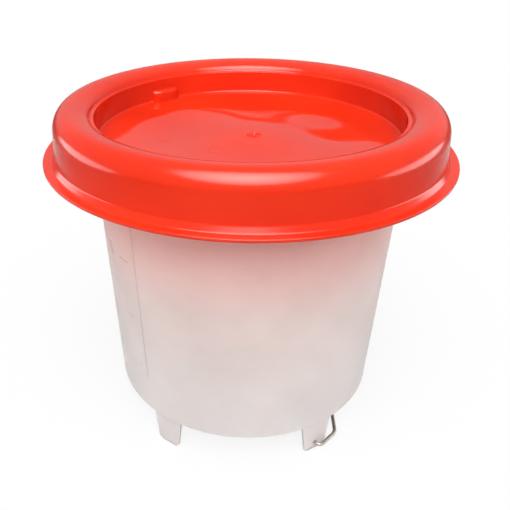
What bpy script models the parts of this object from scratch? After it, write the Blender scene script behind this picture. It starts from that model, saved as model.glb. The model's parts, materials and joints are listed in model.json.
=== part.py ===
"""Poultry drinker, turned over on its feet as it stands for filling.

The milky reservoir is a tapered bucket that stands on four feet moulded on its closed end.
The red drinking tray is held on its mouth by four bayonet hooks, and a wire bail swings in
holes through two opposite feet. In use the whole is turned over and hangs by the bail.
Lengths are in metres and Z points up. The origin is under the axis, at the tips of the feet.
"""
import math

import bmesh
import bpy
from mathutils import Matrix, Vector

MM = 0.001

# Reservoir
END_RADIUS = 105.3 * MM
MOUTH_RADIUS = 114.2 * MM
RESERVOIR_HEIGHT = 200.0 * MM
RESERVOIR_WALL = 2.2 * MM
END_THICKNESS = 2.6 * MM
END_FILLET = 2.0 * MM
END_INNER_FILLET = 1.4 * MM

# Feet, one in each quarter, and the holes for the bail in two of them
FOOT_HEIGHT = 27.0 * MM
FOOT_ROOT_WIDTH = 26.0 * MM
FOOT_TIP_WIDTH = 18.4 * MM
FOOT_THICKNESS = 2.6 * MM
FOOT_INSET = 1.7 * MM
FOOT_CORNER = 3.0 * MM
FOOT_ANGLE = math.radians(56.0)
HOLE_HEIGHT = 6.8 * MM
HOLE_CLEARANCE = 0.3 * MM
DRILL_LENGTH = 7.8 * MM
DRILL_SIDES = 16

# Bayonet: lugs on the reservoir, hooks on the tray
LUG_COUNT = 4
LUG_REACH = 1.9 * MM
LUG_THICKNESS = 2.6 * MM
LUG_INSET = 2.5 * MM
LUG_SPAN = math.radians(15.0)
HOOK_RUN = math.radians(17.0)
HOOK_STOP = math.radians(3.0)
HOOK_WALL = 1.7 * MM
HOOK_LIP = 2.0 * MM
HOOK_SET_BACK = 0.3 * MM
HOOK_CLEARANCE = 0.35 * MM
SEAT_CLEARANCE = 0.3 * MM

# Drinking tray, from the centre plate out to the lip
PLATE_THICKNESS = 2.5 * MM
TRAY_WALL = 2.3 * MM
RECESS_DEPTH = 16.1 * MM
RECESS_DRAFT = 0.6 * MM
RECESS_FILLET = 1.5 * MM
LEDGE_WIDTH = 3.0 * MM
LEDGE_STEP = 2.2 * MM
CREST_RISE = 6.6 * MM
CREST_INNER_ROUND = 4.8 * MM
CREST_FLAT = 4.6 * MM
CREST_OUTER_ROUND = 11.4 * MM
CREST_OUTER_DROP = 13.8 * MM
WALL_LEAN = 4.5 * MM
FLANGE_FILLET = 3.6 * MM
FLANGE_WIDTH = 2.1 * MM
FLANGE_DROP = 7.9 * MM
LIP_HEIGHT = 3.7 * MM
EDGE_ROUND = 0.8 * MM
LEDGE_CORNER = 0.4 * MM
TROUGH_ROUND = 4.2 * MM
TROUGH_ROUND_END = 165.0
PLATEAU_BREAK = 6.4 * MM
PLATEAU_LEAN = 0.2 * MM

# Water outlet: a barrel shaped dent in the corner of the centre plate, under the reservoir's rim
OUTLET_ANGLE = math.radians(130.5)
OUTLET_WIDTH = 27.6 * MM
OUTLET_REACH = 8.4 * MM
OUTLET_STEPS = 14
OUTLET_RISE = 9.6 * MM
OUTLET_ROUND = 3.0 * MM
OUTLET_ROOT = 0.5 * MM

# Wire bail, folded flat under the closed end
WIRE_RADIUS = 1.45 * MM
BAIL_END = 5.5 * MM
BAIL_STAND_OFF = 5.6 * MM
BAIL_BEND = 3.4 * MM
BAIL_LEG = 22.5 * MM
BAIL_LEG_LEAN = math.radians(16.5)
BAIL_SHOULDER_LEAN = math.radians(56.0)
BAIL_REACH = 66.0 * MM
BAIL_SHOULDER_BEND = 12.0 * MM
BAIL_FLOOR_GAP = 0.3 * MM

# Facets
TURN_STEPS = 72
FACET_LENGTH = 2.6 * MM
BEND_STEP = math.radians(15.0)
SECTOR_STEP = math.radians(2.5)
SHARP_ANGLE = math.radians(35.0)
RIM_ANGLE = math.radians(50.0)
ROUND_SEGMENTS = 3
MERGE = 0.00001

# Finishes: linear colour, roughness, metallic
MILKY_FINISH = ((0.72, 0.66, 0.63), 0.45, 0.0)
RED_FINISH = ((0.90, 0.03, 0.01), 0.22, 0.0)
STEEL_FINISH = ((0.42, 0.40, 0.37), 0.35, 1.0)

# Values that follow from the ones above
HINGE_ANGLE = -FOOT_ANGLE
MOUTH_Z = FOOT_HEIGHT + RESERVOIR_HEIGHT
SEAT_Z = MOUTH_Z + SEAT_CLEARANCE
PLATE_Z = SEAT_Z + PLATE_THICKNESS
LEDGE_Z = PLATE_Z + RECESS_DEPTH
RISER_Z = LEDGE_Z + LEDGE_STEP
CREST_Z = RISER_Z + CREST_RISE
SHOULDER_Z = CREST_Z - CREST_OUTER_DROP
FLANGE_Z = PLATE_Z - FLANGE_DROP
LIP_Z = FLANGE_Z - LIP_HEIGHT
LUG_RADIUS = MOUTH_RADIUS + LUG_REACH
HOOK_RADIUS = LUG_RADIUS + HOOK_CLEARANCE
PLATEAU_RADIUS = HOOK_RADIUS + HOOK_WALL + HOOK_SET_BACK
RECESS_RADIUS = PLATEAU_RADIUS - TRAY_WALL
RISER_RADIUS = RECESS_RADIUS + LEDGE_WIDTH
CREST_INNER_RADIUS = RISER_RADIUS + CREST_INNER_ROUND
CREST_OUTER_RADIUS = CREST_INNER_RADIUS + CREST_FLAT
SHOULDER_RADIUS = CREST_OUTER_RADIUS + CREST_OUTER_ROUND
WALL_FOOT_RADIUS = SHOULDER_RADIUS + WALL_LEAN
TRAY_RADIUS = WALL_FOOT_RADIUS + FLANGE_FILLET + FLANGE_WIDTH
HOOK_ANGLES = [OUTLET_ANGLE + (k + 0.5) * 2.0 * math.pi / LUG_COUNT for k in range(LUG_COUNT)]
FOOT_ANGLES = {
    "front_right": -FOOT_ANGLE,
    "back_right": FOOT_ANGLE,
    "back_left": math.pi - FOOT_ANGLE,
    "front_left": math.pi + FOOT_ANGLE,
}
HINGED_FEET = ("front_right", "back_left")
FOOT_FACE = END_RADIUS - FOOT_INSET


def make_collection(name):
    """Make a collection in the scene."""
    collection = bpy.data.collections.new(name)
    bpy.context.scene.collection.children.link(collection)
    return collection


def move_to(obj, collection):
    """Move a new primitive from the active collection to the given one."""
    for owner in list(obj.users_collection):
        owner.objects.unlink(obj)
    collection.objects.link(obj)


def make_material(name, finish):
    """Make a Principled material from a linear colour, a roughness and a metallic value."""
    colour, roughness, metallic = finish
    material = bpy.data.materials.new(name)
    material.use_nodes = True
    shader = material.node_tree.nodes["Principled BSDF"]
    shader.inputs["Base Color"].default_value = (*colour, 1.0)
    shader.inputs["Roughness"].default_value = roughness
    shader.inputs["Metallic"].default_value = metallic
    return material


def arc(centre_r, centre_z, radius_r, radius_z, start_deg, end_deg):
    """Return points along a quarter or less of an ellipse, both ends included."""
    start, end = math.radians(start_deg), math.radians(end_deg)
    steps = max(2, round(abs(end - start) * max(radius_r, radius_z) / FACET_LENGTH))
    angles = [start + (end - start) * k / steps for k in range(steps + 1)]
    return [(centre_r + radius_r * math.cos(a), centre_z + radius_z * math.sin(a)) for a in angles]


def hide_tool(obj):
    """Show a cutter or an added form as a wire outline only."""
    obj.hide_render = True
    obj.display_type = "WIRE"


def make_turned(name, profile, collection):
    """Turn an outline of radius and height about Z, outer side running down."""
    mesh = bpy.data.meshes.new(name)
    vertices = [(radius, 0.0, height) for radius, height in profile]
    mesh.from_pydata(vertices, [(k, k + 1) for k in range(len(vertices) - 1)], [])
    obj = bpy.data.objects.new(name, mesh)
    collection.objects.link(obj)
    screw = obj.modifiers.new("Turn", "SCREW")
    screw.steps = TURN_STEPS
    screw.render_steps = TURN_STEPS
    screw.use_merge_vertices = True
    screw.merge_threshold = MERGE
    return obj


def mesh_from_curve(curve_object, name, collection):
    """Replace a curve object by a closed mesh with welded caps, in the same place."""
    bpy.context.view_layer.update()
    depsgraph = bpy.context.evaluated_depsgraph_get()
    mesh = bpy.data.meshes.new_from_object(curve_object.evaluated_get(depsgraph))
    shell = bmesh.new()
    shell.from_mesh(mesh)
    bmesh.ops.remove_doubles(shell, verts=shell.verts, dist=MERGE)
    bmesh.ops.recalc_face_normals(shell, faces=shell.faces)
    shell.to_mesh(mesh)
    shell.free()
    obj = bpy.data.objects.new(name, mesh)
    obj.matrix_world = curve_object.matrix_world.copy()
    collection.objects.link(obj)
    curve = curve_object.data
    bpy.data.objects.remove(curve_object)
    bpy.data.curves.remove(curve)
    obj.name = name
    return obj


def make_plate(name, outline, thickness, placement, collection):
    """Extrude a flat outline by its thickness, centred on its own plane."""
    curve = bpy.data.curves.new(name, "CURVE")
    curve.dimensions = "2D"
    curve.fill_mode = "BOTH"
    curve.extrude = thickness / 2.0
    spline = curve.splines.new("POLY")
    spline.points.add(len(outline) - 1)
    for point, (x, y) in zip(spline.points, outline):
        point.co = (x, y, 0.0, 1.0)
    spline.use_cyclic_u = True
    obj = bpy.data.objects.new(name, curve)
    obj.matrix_world = placement
    collection.objects.link(obj)
    return mesh_from_curve(obj, name, collection)


def make_sector(name, inner, outer, low, high, start, end, collection):
    """Make a curved block between two radii, two heights and two angles."""
    steps = max(2, math.ceil((end - start) / SECTOR_STEP))
    angles = [start + (end - start) * k / steps for k in range(steps + 1)]
    outline = [(outer * math.cos(a), outer * math.sin(a)) for a in angles]
    outline += [(inner * math.cos(a), inner * math.sin(a)) for a in reversed(angles)]
    placement = Matrix.Translation((0.0, 0.0, (low + high) / 2.0))
    return make_plate(name, outline, high - low, placement, collection)


def round_corner(before, corner, after, radius):
    """Return the points of a round bend between two straight runs."""
    back = (Vector(before) - Vector(corner)).normalized()
    ahead = (Vector(after) - Vector(corner)).normalized()
    half = back.angle(ahead) / 2.0
    centre = Vector(corner) + (back + ahead).normalized() * (radius / math.sin(half))
    first = Vector(corner) + back * (radius / math.tan(half)) - centre
    turn = math.pi - 2.0 * half
    if first.y * back.x - first.x * back.y < 0.0:
        turn = -turn
    steps = max(2, math.ceil(abs(turn) / BEND_STEP))
    bend = [Matrix.Rotation(turn * k / steps, 2) @ first + centre for k in range(steps + 1)]
    return [(point.x, point.y) for point in bend]


def add_boolean(target, tool, operation):
    """Join a form to a target, or cut it away, with the exact solver."""
    modifier = target.modifiers.new(tool.name, "BOOLEAN")
    modifier.operation = operation
    modifier.solver = "EXACT"
    modifier.object = tool
    hide_tool(tool)


def smooth(obj, material):
    """Give an object its material and smooth round faces with sharp edges kept."""
    obj.data.materials.append(material)
    obj.data.shade_smooth()
    obj.data.set_sharp_from_angle(angle=SHARP_ANGLE)


def outer_radius_at(height):
    """Return the reservoir's outer radius at a height above the closed end."""
    return END_RADIUS + (MOUTH_RADIUS - END_RADIUS) * height / RESERVOIR_HEIGHT


def reservoir_profile():
    """Return the bucket's section: inside from the closed end to the mouth, then back outside."""
    fillet = END_FILLET
    inner_fillet = END_INNER_FILLET
    floor_z = FOOT_HEIGHT + END_THICKNESS
    side = outer_radius_at(fillet)
    inner_side = outer_radius_at(END_THICKNESS + inner_fillet) - RESERVOIR_WALL
    profile = [(0.0, floor_z)]
    profile += arc(inner_side - inner_fillet, floor_z + inner_fillet, inner_fillet, inner_fillet, -90.0, 0.0)
    profile += [(MOUTH_RADIUS - RESERVOIR_WALL, MOUTH_Z), (MOUTH_RADIUS, MOUTH_Z)]
    profile += arc(side - fillet, FOOT_HEIGHT + fillet, fillet, fillet, 0.0, -90.0)
    profile += [(0.0, FOOT_HEIGHT)]
    return profile


def foot_outline():
    """Return a foot seen face on: wide at the root, narrower at a tip with round corners."""
    root, tip = FOOT_ROOT_WIDTH / 2.0, FOOT_TIP_WIDTH / 2.0
    top = FOOT_HEIGHT + END_THICKNESS / 2.0
    right = round_corner((root, top), (tip, 0.0), (-tip, 0.0), FOOT_CORNER)
    left = [(-x, y) for x, y in reversed(right)]
    return [(root, top)] + right + left + [(-root, top)]


def foot_placement(angle):
    """Return the frame of a foot: X along the rim, Y up, Z inwards from the middle of its wall."""
    outward = Vector((math.cos(angle), math.sin(angle), 0.0))
    along = Vector((-outward.y, outward.x, 0.0))
    up = Vector((0.0, 0.0, 1.0))
    centre = outward * (FOOT_FACE - FOOT_THICKNESS / 2.0)
    rotation = Matrix((along, up, outward)).transposed()
    return Matrix.Translation(centre) @ rotation.to_4x4()


def make_feet(reservoir, tools):
    """Mould the four feet on the closed end and drill the two that carry the bail."""
    for name, angle in FOOT_ANGLES.items():
        placement = foot_placement(angle)
        foot = make_plate("foot_" + name, foot_outline(), FOOT_THICKNESS, placement, tools)
        add_boolean(reservoir, foot, "UNION")
    for name in HINGED_FEET:
        bpy.ops.mesh.primitive_cylinder_add(
            vertices=DRILL_SIDES, radius=WIRE_RADIUS + HOLE_CLEARANCE, depth=DRILL_LENGTH
        )
        drill = bpy.context.object
        drill.name = "drill_" + name
        lift = Matrix.Translation((0.0, HOLE_HEIGHT, 0.0))
        drill.matrix_world = foot_placement(FOOT_ANGLES[name]) @ lift
        move_to(drill, tools)
        add_boolean(reservoir, drill, "DIFFERENCE")


def lug_levels():
    """Return the lower and upper height of the bayonet lugs."""
    high = MOUTH_Z - LUG_INSET
    return high - LUG_THICKNESS, high


def make_lugs(reservoir, tools):
    """Mould the bayonet lugs round the outside of the mouth."""
    low, high = lug_levels()
    inner = MOUTH_RADIUS - RESERVOIR_WALL / 2.0
    for number, angle in enumerate(HOOK_ANGLES):
        end = angle + HOOK_RUN / 2.0 - HOOK_CLEARANCE / MOUTH_RADIUS
        start = end - LUG_SPAN
        lug = make_sector(f"lug_{number}", inner, LUG_RADIUS, low, high, start, end, tools)
        add_boolean(reservoir, lug, "UNION")


def make_reservoir(parts, tools, material):
    """Build the bucket with its feet and lugs as one moulding."""
    reservoir = make_turned("reservoir", reservoir_profile(), parts)
    make_feet(reservoir, tools)
    make_lugs(reservoir, tools)
    smooth(reservoir, material)
    return reservoir


def tray_underside():
    """Return the side seen when the drinker is turned over, from the axis to the lip."""
    plate_radius = RECESS_RADIUS - RECESS_DRAFT
    edge = EDGE_ROUND
    profile = [(0.0, PLATE_Z)]
    profile += arc(
        plate_radius - RECESS_FILLET, PLATE_Z + RECESS_FILLET, RECESS_FILLET, RECESS_FILLET, -90.0, 0.0
    )
    profile += arc(RECESS_RADIUS + edge, LEDGE_Z - edge, edge, edge, 180.0, 90.0)
    profile += [(RISER_RADIUS - LEDGE_CORNER, LEDGE_Z)]
    profile += arc(CREST_INNER_RADIUS, RISER_Z, CREST_INNER_ROUND, CREST_RISE, 180.0, 90.0)
    profile += arc(CREST_OUTER_RADIUS, SHOULDER_Z, CREST_OUTER_ROUND, CREST_OUTER_DROP, 90.0, 0.0)
    fillet = FLANGE_FILLET
    profile += arc(WALL_FOOT_RADIUS + fillet, FLANGE_Z + fillet, fillet, fillet, 180.0, 270.0)
    profile += arc(TRAY_RADIUS - edge, FLANGE_Z - edge, edge, edge, 90.0, 0.0)
    profile += arc(TRAY_RADIUS - edge, LIP_Z + edge, edge, edge, 0.0, -90.0)
    return profile


def tray_waterside():
    """Return the side that holds the water, from the lip back to the axis."""
    wall = TRAY_WALL
    edge = EDGE_ROUND
    floor_z = CREST_Z - wall
    bend_r = CREST_INNER_RADIUS + wall / 2.0
    wall_top = WALL_FOOT_RADIUS - wall
    profile = arc(wall_top + edge, LIP_Z + edge, edge, edge, 270.0, 180.0)
    round_r, round_z = CREST_OUTER_ROUND - wall, CREST_OUTER_DROP - wall
    profile += arc(CREST_OUTER_RADIUS, SHOULDER_Z, round_r, round_z, 0.0, 90.0)
    profile += arc(bend_r, floor_z - TROUGH_ROUND, TROUGH_ROUND, TROUGH_ROUND, 90.0, TROUGH_ROUND_END)
    profile += [(PLATEAU_RADIUS + PLATEAU_LEAN, LEDGE_Z - PLATEAU_BREAK)]
    profile += arc(PLATEAU_RADIUS - edge, SEAT_Z + edge, edge, edge, 0.0, -90.0)
    profile += [(0.0, SEAT_Z)]
    return profile


def make_barrel(name, reach, outer, half_width, levels, rounding, collection):
    """Make a block that bulges from the recess wall towards the axis, with a round rim.

    Reach and half width are the half axes of the bulge, outer is the radius where the block
    ends, and levels are its lower and upper height.
    """
    angles = [math.pi * (0.5 + k / OUTLET_STEPS) for k in range(OUTLET_STEPS + 1)]
    outline = [(RECESS_RADIUS + reach * math.cos(a), half_width * math.sin(a)) for a in angles]
    outline += [(outer, -half_width), (outer, half_width)]
    low, high = levels
    placement = Matrix.Rotation(OUTLET_ANGLE, 4, "Z") @ Matrix.Translation((0.0, 0.0, (low + high) / 2.0))
    barrel = make_plate(name, outline, high - low, placement, collection)
    bevel = barrel.modifiers.new("Round", "BEVEL")
    bevel.width = rounding
    bevel.segments = ROUND_SEGMENTS
    bevel.limit_method = "ANGLE"
    bevel.angle_limit = RIM_ANGLE
    return barrel


def make_outlet(tray, tools):
    """Press the water outlet into the corner of the centre plate."""
    wall = TRAY_WALL
    high = PLATE_Z + OUTLET_RISE
    levels = (SEAT_Z - OUTLET_ROUND, high)
    outer = PLATEAU_RADIUS + OUTLET_ROUND
    half_width = OUTLET_WIDTH / 2.0
    bump = make_barrel("outlet_bump", OUTLET_REACH, outer, half_width, levels, OUTLET_ROUND, tools)
    low = SEAT_Z + OUTLET_ROOT
    bpy.ops.mesh.primitive_cylinder_add(
        vertices=TURN_STEPS, radius=PLATEAU_RADIUS - wall / 2.0, depth=high + wall - low,
        location=(0.0, 0.0, (low + high + wall) / 2.0),
    )
    core = bpy.context.object
    core.name = "outlet_core"
    move_to(core, tools)
    add_boolean(bump, core, "INTERSECT")
    add_boolean(tray, bump, "UNION")
    levels = (SEAT_Z - OUTLET_ROUND, high - wall)
    outer = PLATEAU_RADIUS + wall
    hollow = make_barrel(
        "outlet_hollow", OUTLET_REACH - wall, outer, half_width - wall, levels, OUTLET_ROUND - wall, tools
    )
    add_boolean(tray, hollow, "DIFFERENCE")


def make_hooks(tray, tools):
    """Mould the bayonet hooks on the edge of the centre plate, each with its stop."""
    lug_low, _ = lug_levels()
    lip_high = lug_low - HOOK_CLEARANCE
    lip_low = lip_high - HOOK_LIP
    root = SEAT_Z + PLATE_THICKNESS / 2.0
    lip_inner = MOUTH_RADIUS + HOOK_CLEARANCE
    channel_inner = lip_inner - HOOK_WALL
    channel_high = SEAT_Z + PLATE_THICKNESS / 4.0
    for number, angle in enumerate(HOOK_ANGLES):
        start = angle - HOOK_RUN / 2.0
        channel_end = angle + HOOK_RUN / 2.0
        hook = make_sector(
            f"hook_{number}", lip_inner, HOOK_RADIUS + HOOK_WALL, lip_low, root,
            start, channel_end + HOOK_STOP, tools,
        )
        channel = make_sector(
            f"channel_{number}", channel_inner, HOOK_RADIUS, lip_high, channel_high,
            start - HOOK_STOP, channel_end, tools,
        )
        add_boolean(hook, channel, "DIFFERENCE")
        add_boolean(tray, hook, "UNION")


def make_tray(parts, tools, material):
    """Build the drinking tray as one moulding: plate, trough, lip, outlet and hooks."""
    tray = make_turned("drinking_tray", tray_underside() + tray_waterside(), parts)
    make_outlet(tray, tools)
    make_hooks(tray, tools)
    smooth(tray, material)
    return tray


def bail_route():
    """Return one half of the bail in its own plane: along the hinge, then out from it."""
    stand = FOOT_FACE + BAIL_STAND_OFF
    end = (FOOT_FACE - FOOT_THICKNESS - BAIL_END, 0.0)
    corner = (stand, 0.0)
    leg_end = (stand - BAIL_LEG * math.sin(BAIL_LEG_LEAN), BAIL_LEG * math.cos(BAIL_LEG_LEAN))
    run = (BAIL_REACH - leg_end[1]) / math.cos(BAIL_SHOULDER_LEAN)
    shoulder = (leg_end[0] - run * math.sin(BAIL_SHOULDER_LEAN), BAIL_REACH)
    half = [end]
    half += round_corner(end, corner, leg_end, BAIL_BEND)
    half += round_corner(corner, leg_end, shoulder, BAIL_SHOULDER_BEND)
    half += round_corner(leg_end, shoulder, (-shoulder[0], BAIL_REACH), BAIL_SHOULDER_BEND)
    return half


def bail_frame():
    """Return the bail's frame: X along the hinge, Y out over the floor, origin on the hinge."""
    along = Vector((math.cos(HINGE_ANGLE), math.sin(HINGE_ANGLE), 0.0))
    out = Vector((-along.y, along.x, 0.0))
    drop = HOLE_HEIGHT - WIRE_RADIUS - BAIL_FLOOR_GAP
    tilt = math.asin(drop / BAIL_REACH)
    frame = Matrix((along, out, Vector((0.0, 0.0, 1.0)))).transposed().to_4x4()
    lean = Matrix.Rotation(-tilt, 4, "X")
    return Matrix.Translation((0.0, 0.0, HOLE_HEIGHT)) @ frame @ lean


def make_bail(parts, material):
    """Bend the wire bail, with its origin on the hinge axis."""
    half = bail_route()
    route = half + [(-x, y) for x, y in reversed(half)]
    curve = bpy.data.curves.new("bail_handle", "CURVE")
    curve.dimensions = "3D"
    curve.bevel_depth = WIRE_RADIUS
    curve.bevel_resolution = 2
    curve.use_fill_caps = True
    spline = curve.splines.new("POLY")
    spline.points.add(len(route) - 1)
    for point, (x, y) in zip(spline.points, route):
        point.co = (x, y, 0.0, 1.0)
    wire = bpy.data.objects.new("bail_wire", curve)
    wire.matrix_world = bail_frame()
    parts.objects.link(wire)
    bail = mesh_from_curve(wire, "bail_handle", parts)
    smooth(bail, material)
    return bail


def main():
    """Clear the scene and build the drinker."""
    for obj in list(bpy.data.objects):
        bpy.data.objects.remove(obj)
    parts = make_collection("poultry_drinker")
    tools = make_collection("drinker_tools")
    milky = make_material("milky_polypropylene", MILKY_FINISH)
    red = make_material("red_polypropylene", RED_FINISH)
    steel = make_material("galvanised_wire", STEEL_FINISH)
    make_reservoir(parts, tools, milky)
    make_tray(parts, tools, red)
    make_bail(parts, steel)


main()
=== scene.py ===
"""Looks of a poultry drinker that stands turned over on its feet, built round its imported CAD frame.

The milky reservoir, the red drinking tray and the wire bail each get a finer mesh that stands for
their CAD node and rides on the same body. Lengths are in metres, Z points up and the origin is
under the axis, at the tips of the feet.
"""

import json
import logging
import math
from dataclasses import dataclass
from enum import Enum

import bpy
from mathutils import Matrix, Vector

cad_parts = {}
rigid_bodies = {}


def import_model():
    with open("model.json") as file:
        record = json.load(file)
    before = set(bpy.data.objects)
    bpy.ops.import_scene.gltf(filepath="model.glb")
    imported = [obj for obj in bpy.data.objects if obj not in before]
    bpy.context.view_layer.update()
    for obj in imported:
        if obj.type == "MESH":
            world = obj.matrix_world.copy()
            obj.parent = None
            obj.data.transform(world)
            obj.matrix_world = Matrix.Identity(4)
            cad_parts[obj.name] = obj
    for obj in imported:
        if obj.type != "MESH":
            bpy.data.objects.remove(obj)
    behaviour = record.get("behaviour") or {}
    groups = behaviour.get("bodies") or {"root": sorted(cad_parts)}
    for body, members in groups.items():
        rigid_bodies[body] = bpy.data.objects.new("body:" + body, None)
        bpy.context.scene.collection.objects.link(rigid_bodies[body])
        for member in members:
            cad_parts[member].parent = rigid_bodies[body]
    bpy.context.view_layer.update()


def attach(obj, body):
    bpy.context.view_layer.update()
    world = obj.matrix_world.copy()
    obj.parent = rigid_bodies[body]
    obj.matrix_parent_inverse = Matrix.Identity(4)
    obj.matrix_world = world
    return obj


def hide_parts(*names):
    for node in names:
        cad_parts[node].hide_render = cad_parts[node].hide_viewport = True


MM = 0.001
FULL_TURN = math.tau
WELD = 0.000002  # points closer than this, in metres, become one
SMOOTH_ANGLE = math.radians(32.0)  # edges flatter than this are shaded smooth
SHARP_DEG = 40.0  # edges sharper than this are rounded
LOG = logging.getLogger("poultry_drinker")

Point = tuple[float, float]
Triple = tuple[float, float, float]
Outline = list[Point]


class Body(Enum):
    """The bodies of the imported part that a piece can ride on."""

    RESERVOIR = "reservoir"
    TRAY = "tray"
    BAIL = "bail"


class Slot(Enum):
    """The material slots of the record."""

    RESERVOIR = "reservoir"
    TRAY = "tray"
    WIRE = "wire"


class Join(Enum):
    """How a tool solid acts on a piece."""

    ADD = "UNION"
    CUT = "DIFFERENCE"
    KEEP = "INTERSECT"


def linear(code: str) -> tuple[float, float, float, float]:
    """Turn an sRGB hex colour into linear values.

    Args:
        code: Six hex digits after a hash sign.

    Returns:
        Red, green, blue and full alpha.
    """
    channels = [int(code[k : k + 2], 16) / 255.0 for k in (1, 3, 5)]
    red, green, blue = (c / 12.92 if c <= 0.04045 else ((c + 0.055) / 1.055) ** 2.4 for c in channels)
    return red, green, blue, 1.0


def add_node(tree: bpy.types.NodeTree, kind: str, settings: dict, links: dict) -> bpy.types.Node:
    """Add a shader node with its settings and its incoming links.

    Args:
        tree: The node tree.
        kind: The node's type name.
        settings: Attributes by name, and input values by input name or number.
        links: Output sockets by the name or number of the input they feed.

    Returns:
        The new node.
    """
    node = tree.nodes.new(kind)
    for key, value in settings.items():
        if isinstance(key, str) and hasattr(node, key):
            setattr(node, key, value)
        else:
            node.inputs[key].default_value = value
    for key, socket in links.items():
        tree.links.new(socket, node.inputs[key])
    return node


def new_material(name: str) -> tuple[bpy.types.Material, bpy.types.NodeTree]:
    """Make a material with an empty node tree.

    Args:
        name: The material's name.

    Returns:
        The material and its node tree.
    """
    material = bpy.data.materials.new(name)
    material.use_nodes = True
    material.node_tree.nodes.clear()
    return material, material.node_tree


def fill_ramp(ramp: bpy.types.Node, stops: list[tuple[float, str]]) -> None:
    """Set the stops of a colour ramp.

    Args:
        ramp: The ramp node.
        stops: Places from 0 to 1 with their sRGB hex colours.
    """
    elements = ramp.color_ramp.elements
    while len(elements) > 1:
        elements.remove(elements[-1])
    for number, (place, code) in enumerate(stops):
        element = elements[0] if number == 0 else elements.new(place)
        element.position = place
        element.color = linear(code)


@dataclass(frozen=True)
class RedPolypropylene:
    """Red polypropylene, injection moulded in a polished tool.

    It gives the eye a saturated orange red. The centre plate comes from a mirror-polished core
    and reflects sharply; the trough is satin, and fine handling scuffs dull both in patches.
    """

    name: str = "red_polypropylene_moulded"
    body: str = "#d72c10"
    deep: str = "#d0280d"
    bright: str = "#dd3013"
    ior: float = 1.49
    plate_roughness: float = 0.03
    trough_roughness: float = 0.17
    scuff_roughness: float = 0.04
    plate_radius_m: float = 0.1100
    polish_fade_m: float = 0.005
    flow_mm: float = 60.0
    peel_mm: float = 3.2
    scuff_mm: float = 9.0
    scuff_range: Point = (0.45, 0.75)
    peel_depth_mm: float = 0.006
    peel_strength: float = 0.5
    scatter: float = 0.10
    scatter_m: Triple = (0.004, 0.0008, 0.0004)

    def make(self) -> bpy.types.Material:
        """Build the material.

        Returns:
            The new material.
        """
        material, tree = new_material(self.name)
        place = add_node(tree, "ShaderNodeTexCoord", {}, {}).outputs["Object"]
        # Slow change of colour where the melt flowed and cooled, about 60 mm across.
        flow = add_node(
            tree,
            "ShaderNodeTexNoise",
            {"Scale": 1.0 / (self.flow_mm * MM), "Detail": 2.0, "Roughness": 0.4},
            {"Vector": place},
        )
        tint = add_node(tree, "ShaderNodeValToRGB", {}, {"Fac": flow.outputs["Fac"]})
        fill_ramp(tint, [(0.30, self.deep), (0.50, self.body), (0.70, self.bright)])
        # Handling scuffs, drawn about 9 mm across so that they show.
        scuff = add_node(
            tree,
            "ShaderNodeTexNoise",
            {"Scale": 1.0 / (self.scuff_mm * MM), "Detail": 6.0, "Roughness": 0.65},
            {"Vector": place},
        )
        scuffed = add_node(
            tree,
            "ShaderNodeMapRange",
            {
                "From Min": self.scuff_range[0],
                "From Max": self.scuff_range[1],
                "To Min": 0.0,
                "To Max": self.scuff_roughness,
            },
            {"Value": scuff.outputs["Fac"]},
        )
        # The polish ends where the plate does: the distance from the axis sets the roughness.
        flat_place = add_node(
            tree, "ShaderNodeVectorMath", {"operation": "MULTIPLY", 1: (1.0, 1.0, 0.0)}, {0: place}
        )
        radius = add_node(
            tree, "ShaderNodeVectorMath", {"operation": "LENGTH"}, {0: flat_place.outputs["Vector"]}
        )
        polish = add_node(
            tree,
            "ShaderNodeMapRange",
            {
                "From Min": self.plate_radius_m,
                "From Max": self.plate_radius_m + self.polish_fade_m,
                "To Min": self.plate_roughness,
                "To Max": self.trough_roughness,
            },
            {"Value": radius.outputs["Value"]},
        )
        gloss = add_node(
            tree,
            "ShaderNodeMath",
            {"operation": "ADD"},
            {0: polish.outputs["Result"], 1: scuffed.outputs["Result"]},
        )
        # Orange peel of the tool, far finer than a pixel, drawn at 3 mm.
        peel = add_node(
            tree,
            "ShaderNodeTexNoise",
            {"Scale": 1.0 / (self.peel_mm * MM), "Detail": 3.0, "Roughness": 0.5},
            {"Vector": place},
        )
        bump = add_node(
            tree,
            "ShaderNodeBump",
            {"Strength": self.peel_strength, "Distance": self.peel_depth_mm * MM},
            {"Height": peel.outputs["Fac"]},
        )
        shader = add_node(
            tree,
            "ShaderNodeBsdfPrincipled",
            {
                "IOR": self.ior,
                "Subsurface Weight": self.scatter,
                "Subsurface Radius": self.scatter_m,
                "Subsurface Scale": 1.0,
            },
            {
                "Base Color": tint.outputs["Color"],
                "Roughness": gloss.outputs["Value"],
                "Normal": bump.outputs["Normal"],
            },
        )
        add_node(tree, "ShaderNodeOutputMaterial", {}, {"Surface": shader.outputs["BSDF"]})
        return material


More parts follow.
